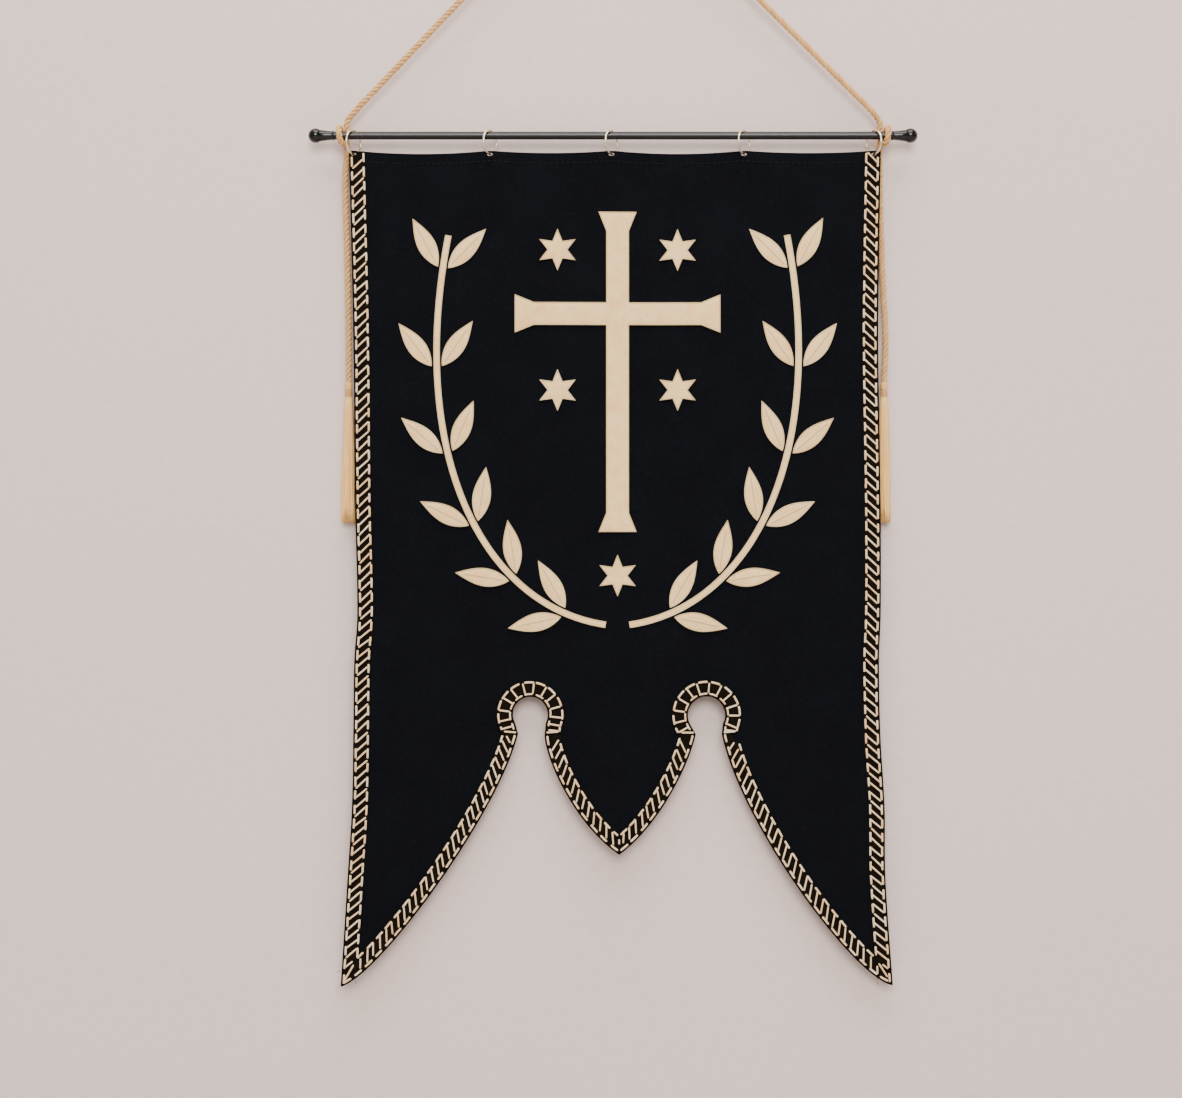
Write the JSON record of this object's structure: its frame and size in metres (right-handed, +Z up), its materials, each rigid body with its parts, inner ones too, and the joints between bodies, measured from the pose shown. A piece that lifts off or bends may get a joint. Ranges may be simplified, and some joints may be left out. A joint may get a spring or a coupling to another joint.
{
  "type": "church banner on a hanging rod",
  "caption": "Dark cloth banner with two pointed tails, braided edges and cream cross and leaf applique, hung by rings from a black rod on a tasselled cord.",
  "frame": {"origin": "the hanging point, under the top bend of the cord", "axes": "+Z up along the banner's height, +Y back towards what it hangs on, the worked face towards -Y, +X to the right as seen from the front"},
  "size_m": [0.6703, 0.0333, 1.2537],
  "materials": {
    "cloth": "matte black wool felt",
    "braid": "black and ivory woven braid",
    "applique": "cream cloth edged with golden brown stitches",
    "black_rod": "gloss black paint",
    "brass": "polished",
    "cord": "tan twisted cord",
    "tassel": "cream yarn with golden bands"
  },
  "bodies": {
    "root": {"applique_cross": "applique", "applique_left_leaf_1": "applique", "applique_left_leaf_10": "applique", "applique_left_leaf_11": "applique", "applique_left_leaf_12": "applique", "applique_left_leaf_2": "applique", "applique_left_leaf_3": "applique", "applique_left_leaf_4": "applique", "applique_left_leaf_5": "applique", "applique_left_leaf_6": "applique", "applique_left_leaf_7": "applique", "applique_left_leaf_8": "applique", "applique_left_leaf_9": "applique", "applique_left_stem": "applique", "applique_right_leaf_1": "applique", "applique_right_leaf_10": "applique", "applique_right_leaf_11": "applique", "applique_right_leaf_12": "applique", "applique_right_leaf_2": "applique", "applique_right_leaf_3": "applique", "applique_right_leaf_4": "applique", "applique_right_leaf_5": "applique", "applique_right_leaf_6": "applique", "applique_right_leaf_7": "applique", "applique_right_leaf_8": "applique", "applique_right_leaf_9": "applique", "applique_right_stem": "applique", "applique_star_1": "applique", "applique_star_2": "applique", "applique_star_3": "applique", "applique_star_4": "applique", "applique_star_5": "applique", "braid_centre_left": "braid", "braid_centre_right": "braid", "braid_left_keyhole": "braid", "braid_left_side": "braid", "braid_left_tail": "braid", "braid_right_keyhole": "braid", "braid_right_side": "braid", "braid_right_tail": "braid", "cloth": "cloth", "finial_left": "black_rod", "finial_right": "black_rod", "hanging_cord": "cord", "ring_1": "brass", "ring_2": "brass", "ring_3": "brass", "ring_4": "brass", "ring_5": "brass", "rod": "black_rod", "tassel_left": "tassel", "tassel_right": "tassel"}
  },
  "joints": []
}
